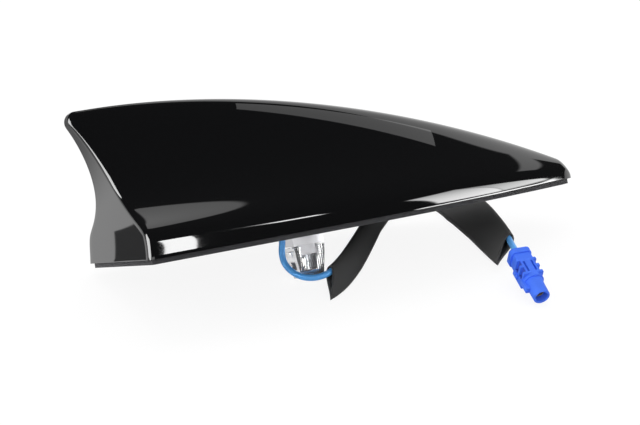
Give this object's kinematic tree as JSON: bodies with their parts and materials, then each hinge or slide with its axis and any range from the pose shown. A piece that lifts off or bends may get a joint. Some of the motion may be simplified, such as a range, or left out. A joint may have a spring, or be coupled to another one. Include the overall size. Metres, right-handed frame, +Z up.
{
  "type": "roof antenna",
  "caption": "Shark-fin roof antenna for a car: glossy fin cover over a cast base with gasket, clip-in boss, and a coaxial pigtail in a felt sleeve ending in a plug.",
  "frame": {"origin": "on the axis of the clamp bolt, in the plane of the car's roof under the gasket", "axes": "+X towards the nose of the fin, +Z up from the roof, +Y to the left of the car"},
  "size_m": [0.273, 0.1445, 0.1343],
  "materials": {
    "gloss_black_cover": "high gloss lacquer",
    "black_rubber": "matte moulded rubber",
    "cast_alloy": "as cast",
    "spring_steel": "zinc plated sheet",
    "plated_steel": "zinc plated",
    "board_green": "solder resist",
    "patch_ceramic": "fired ceramic with silver faces",
    "gilt_brass": "gilt",
    "tinned_sheet": "tinned",
    "carrier_white": "moulded",
    "cable_blue": "smooth jacket",
    "felt_black": "needled felt",
    "plug_blue": "moulded",
    "lock_blue": "moulded",
    "insulator_white": "moulded",
    "crimp_steel": "tinned"
  },
  "bodies": {
    "root": {"fin_cover": "gloss_black_cover", "roof_gasket": "black_rubber", "cable_grommet": "black_rubber", "base_plate": "cast_alloy", "retaining_clip": "spring_steel", "clamp_bolt": "plated_steel", "cover_screws": "plated_steel", "board_screws": "plated_steel", "main_board": "board_green", "phone_blade": "board_green", "gnss_patch": "patch_ceramic", "patch_feed_pin": "gilt_brass", "coax_ferrule": "gilt_brass", "plug_shield_contact": "gilt_brass", "plug_pin": "gilt_brass", "shield_can": "tinned_sheet", "blade_carrier": "carrier_white", "coax_cable": "cable_blue", "felt_sleeve": "felt_black", "plug_housing": "plug_blue", "plug_lock": "lock_blue", "plug_insulator": "insulator_white", "plug_ferrule": "crimp_steel"}
  },
  "joints": []
}
